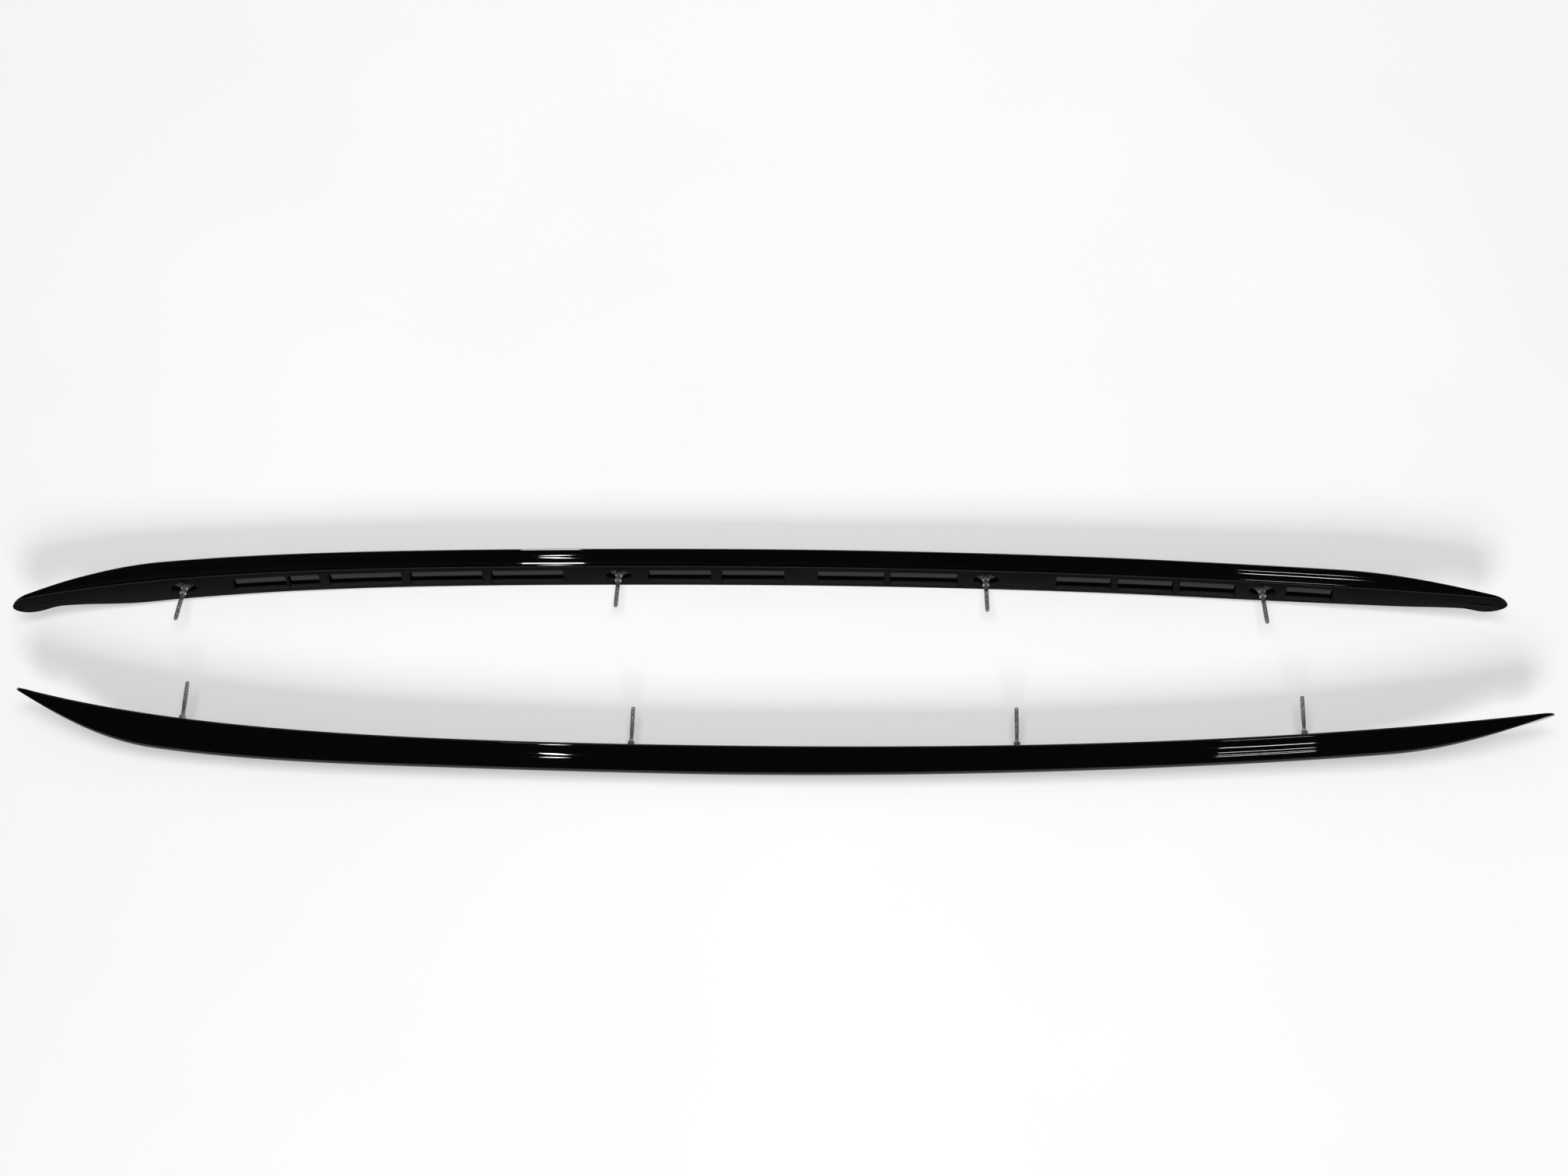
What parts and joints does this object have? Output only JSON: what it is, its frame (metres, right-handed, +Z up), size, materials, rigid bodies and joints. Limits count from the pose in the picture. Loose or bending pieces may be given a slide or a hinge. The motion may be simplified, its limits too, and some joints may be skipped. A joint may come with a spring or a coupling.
{
  "type": "roof side rail pair",
  "caption": "Pair of mirrored gloss-black arched roof side rails lying on their sides, with moulded base strips full of windows and zinc threaded studs.",
  "frame": {"origin": "Centre of the pair on the ground plane that both rails lie on, outer sides down.", "axes": "+X runs along the rails from the front tips to the rear tips, +Y from the left rail towards the right rail, +Z up from the ground. Both rails' studs point at each other."},
  "size_m": [1.912, 0.319, 0.0474],
  "materials": {
    "black_paint": "deep gloss black coating",
    "strip_plastic": "fine-grained charcoal moulding",
    "insert_zinc": "zinc-plated steel",
    "stud_zinc": "bright zinc-plated steel"
  },
  "bodies": {
    "root": {"right_rail": "black_paint", "right_base_strip": "strip_plastic", "right_insert_1": "insert_zinc", "right_insert_2": "insert_zinc", "right_insert_3": "insert_zinc", "right_insert_4": "insert_zinc", "right_stud_1": "stud_zinc", "right_stud_2": "stud_zinc", "right_stud_3": "stud_zinc", "right_stud_4": "stud_zinc", "left_rail": "black_paint", "left_base_strip": "strip_plastic", "left_insert_1": "insert_zinc", "left_insert_2": "insert_zinc", "left_insert_3": "insert_zinc", "left_insert_4": "insert_zinc", "left_stud_1": "stud_zinc", "left_stud_2": "stud_zinc", "left_stud_3": "stud_zinc", "left_stud_4": "stud_zinc"}
  },
  "joints": []
}
